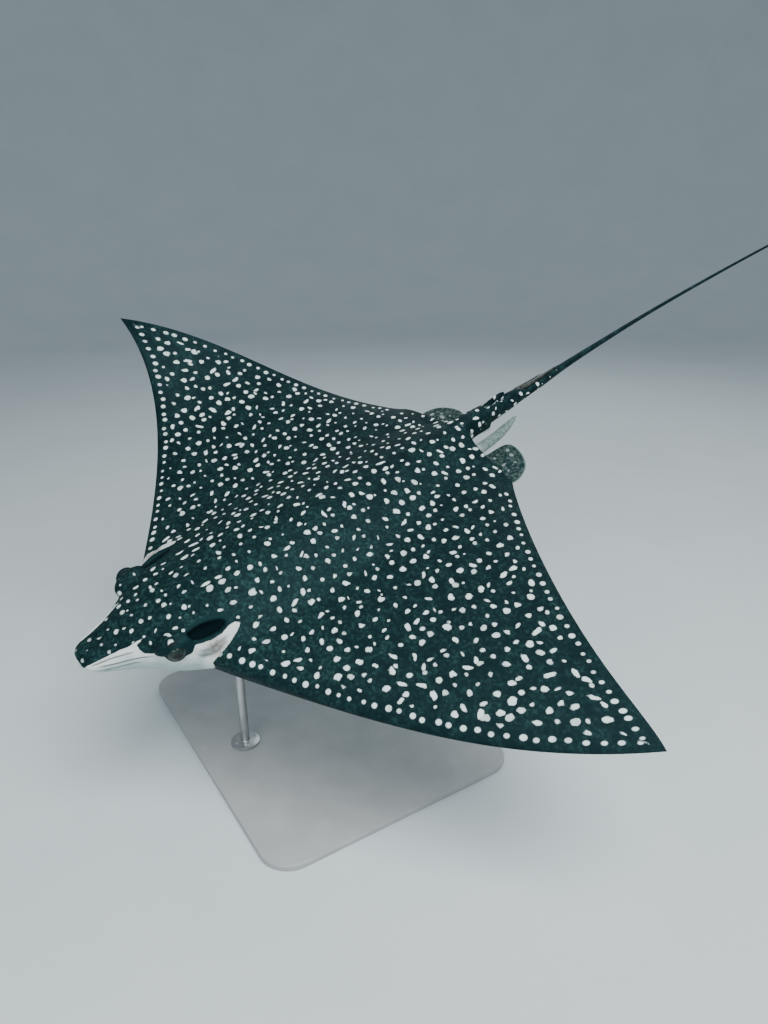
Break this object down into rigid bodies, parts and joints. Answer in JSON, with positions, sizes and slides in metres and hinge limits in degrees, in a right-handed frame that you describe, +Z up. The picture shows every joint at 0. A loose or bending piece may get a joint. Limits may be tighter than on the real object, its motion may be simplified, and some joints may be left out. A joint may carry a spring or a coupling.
{
  "type": "spotted eagle ray model on a display stand",
  "caption": "Still, life-size model of an adult male spotted eagle ray in a banked glide, held by two rods on a flat base.",
  "frame": {"origin": "middle of the base plate's underside, which rests on the floor", "axes": "+Z up; the ray heads towards -Y and its left wing is on +X"},
  "size_m": [1.2765, 2.8691, 1.3333],
  "materials": {
    "skin": "smooth scaleless skin, dark slate with white spots above and white below, satin as if wet",
    "spine": "slate-dark dentine with paler worn patches, matt",
    "eye": "dark and glossy",
    "stand_paint": "fine-textured light grey powder coat on steel plate",
    "rod_steel": "brushed stainless steel"
  },
  "bodies": {
    "root": {"head": "skin", "trunk": "skin", "wing_left": "skin", "wing_right": "skin", "pelvic_fin_left": "skin", "pelvic_fin_right": "skin", "clasper_left": "skin", "clasper_right": "skin", "dorsal_fin": "skin", "tail_root": "skin", "tail_middle": "skin", "tail_whip": "skin", "tail_tip": "skin", "sting_spine_long": "spine", "sting_spine_short": "spine", "eye_left": "eye", "eye_right": "eye", "stand_base": "stand_paint", "stand_rod_front": "rod_steel", "stand_rod_rear": "rod_steel"}
  },
  "joints": []
}
